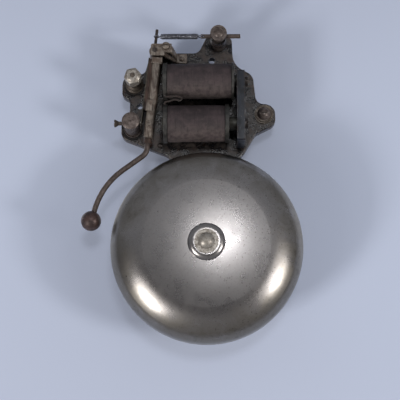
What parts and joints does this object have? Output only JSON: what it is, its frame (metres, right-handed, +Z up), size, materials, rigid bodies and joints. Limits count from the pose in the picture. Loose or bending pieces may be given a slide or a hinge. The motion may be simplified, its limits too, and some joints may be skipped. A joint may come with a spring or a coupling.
{
  "type": "electric trembler bell",
  "caption": "Open-frame electric alarm bell for a wall: domed gong on a cast frame, twin coils and a spring-loaded armature that swings a ball striker.",
  "frame": {"origin": "on the wall plane, on the gong's axis", "axes": "+X right and +Z up as the bell hangs; +Y into the wall, so the bell stands out towards -Y"},
  "size_m": [0.1765, 0.066, 0.2609],
  "materials": {
    "japanned_iron": "worn black japan over cast iron",
    "gong_metal": "satin, tarnished bell metal",
    "nickel": "worn nickel plate",
    "dark_steel": "dark oxidised steel",
    "blued_iron": "blue-black soft iron",
    "core_iron": "bare soft iron",
    "bobbin_fibre": "vulcanised fibre",
    "copper_wire": "enamelled copper",
    "coil_wrap": "varnished cloth",
    "aged_steel": "brown aged steel",
    "rusty_iron": "rusted",
    "spring_bronze": "dull phosphor bronze",
    "spring_steel": "dark spring wire",
    "silver_contact": "silver",
    "brown_rod": "browned steel",
    "ball_brass": "tarnished brass",
    "dull_brass": "dull brown brass",
    "old_brass": "old brass",
    "fibre_black": "black fibre",
    "cotton_wire": "cotton-covered wire"
  },
  "bodies": {
    "frame": {"frame_casting": "japanned_iron", "gong": "gong_metal", "gong_post": "dark_steel", "gong_washer": "nickel", "gong_screw": "nickel", "yoke_bar": "blued_iron", "upper_core": "core_iron", "lower_core": "core_iron", "upper_bobbin": "bobbin_fibre", "lower_bobbin": "bobbin_fibre", "upper_winding": "copper_wire", "lower_winding": "copper_wire", "upper_coil_wrap": "coil_wrap", "lower_coil_wrap": "coil_wrap", "core_screws": "dark_steel", "yoke_screws": "dark_steel", "pivot_bridge": "aged_steel", "bridge_screw": "aged_steel", "bridge_foot_screw": "aged_steel", "pivot_pin": "dark_steel", "return_spring": "spring_steel", "tension_post": "dark_steel", "insulating_washers": "fibre_black", "insulating_bushes": "fibre_black", "rear_washers": "dull_brass", "rear_nuts": "dull_brass", "terminal_post": "old_brass", "contact_post": "dull_brass", "lug_screw": "dull_brass", "lug_washers": "old_brass", "ground_screw": "dark_steel", "coil_link_wire": "cotton_wire", "supply_lead": "cotton_wire", "ground_lead": "cotton_wire"},
    "armature": {"armature_hub": "aged_steel", "armature_bar": "aged_steel", "packing_strip": "rusty_iron", "contact_spring": "spring_bronze", "spacer_rivets": "dull_brass", "spring_clamp": "aged_steel", "contact_tip": "silver_contact", "spring_pin": "dark_steel", "rod_collar": "rusty_iron", "striker_rod": "brown_rod", "striker_ball": "ball_brass"},
    "tension_rod": {"tension_rod": "brown_rod"},
    "clamp_pad": {"pressure_pad": "dull_brass"},
    "clamp_screw": {"tension_clamp_screw": "dull_brass"},
    "terminal_washer": {"terminal_washer": "nickel"},
    "terminal_nut": {"terminal_nut": "nickel"},
    "cap_washer": {"contact_post_washer": "dull_brass"},
    "post_cap": {"contact_post_cap": "dull_brass"},
    "contact_screw": {"contact_screw": "old_brass"},
    "contact_knob": {"contact_screw_knob": "old_brass"}
  },
  "joints": [
    {"name": "armature_swing", "type": "hinge", "parent": "frame", "child": "armature", "pos_m": [-0.0424, -0.027, 0.163], "axis": [0, -1, 0], "range_deg": [0, 3.9], "stiffness_Nm_per_rad": 0.06, "springref_deg": -24.06, "deforming": ["return_spring"]},
    {"name": "tension_rod_slide", "type": "slide", "parent": "frame", "child": "tension_rod", "axis": [1, 0, 0], "range_m": [-0.003, 0.006], "deforming": ["return_spring"]},
    {"name": "clamp_screw_travel", "type": "slide", "parent": "frame", "child": "clamp_pad", "axis": [0, -1, 0], "range_m": [0, 0.002]},
    {"name": "clamp_screw_spin", "type": "hinge", "parent": "clamp_pad", "child": "clamp_screw", "pos_m": [0.01, -0.0335, 0.1773], "axis": [0, -1, 0], "range_deg": [0, 900.01]},
    {"name": "terminal_nut_travel", "type": "slide", "parent": "frame", "child": "terminal_washer", "axis": [0, -1, 0], "range_m": [0, 0.004]},
    {"name": "terminal_nut_spin", "type": "hinge", "parent": "terminal_washer", "child": "terminal_nut", "pos_m": [-0.0602, -0.032, 0.1403], "axis": [0, -1, 0], "range_deg": [0, 1800.01]},
    {"name": "post_cap_travel", "type": "slide", "parent": "frame", "child": "cap_washer", "axis": [0, -1, 0], "range_m": [0, 0.0024]},
    {"name": "post_cap_spin", "type": "hinge", "parent": "cap_washer", "child": "post_cap", "pos_m": [-0.0612, -0.0345, 0.102], "axis": [0, -1, 0], "range_deg": [0, 1080.01]},
    {"name": "contact_screw_travel", "type": "slide", "parent": "frame", "child": "contact_screw", "axis": [-1, 0, 0], "range_m": [0, 0.003]},
    {"name": "contact_screw_spin", "type": "hinge", "parent": "contact_screw", "child": "contact_knob", "pos_m": [-0.074, -0.0275, 0.102], "axis": [-1, 0, 0], "range_deg": [0, 1800.01]}
  ],
  "couplings": [
    {"joint": "clamp_screw_spin", "follows": "clamp_screw_travel", "rad_per_m": 7854},
    {"joint": "terminal_nut_spin", "follows": "terminal_nut_travel", "rad_per_m": 7854},
    {"joint": "post_cap_spin", "follows": "post_cap_travel", "rad_per_m": 7854},
    {"joint": "contact_screw_spin", "follows": "contact_screw_travel", "rad_per_m": 10472}
  ]
}
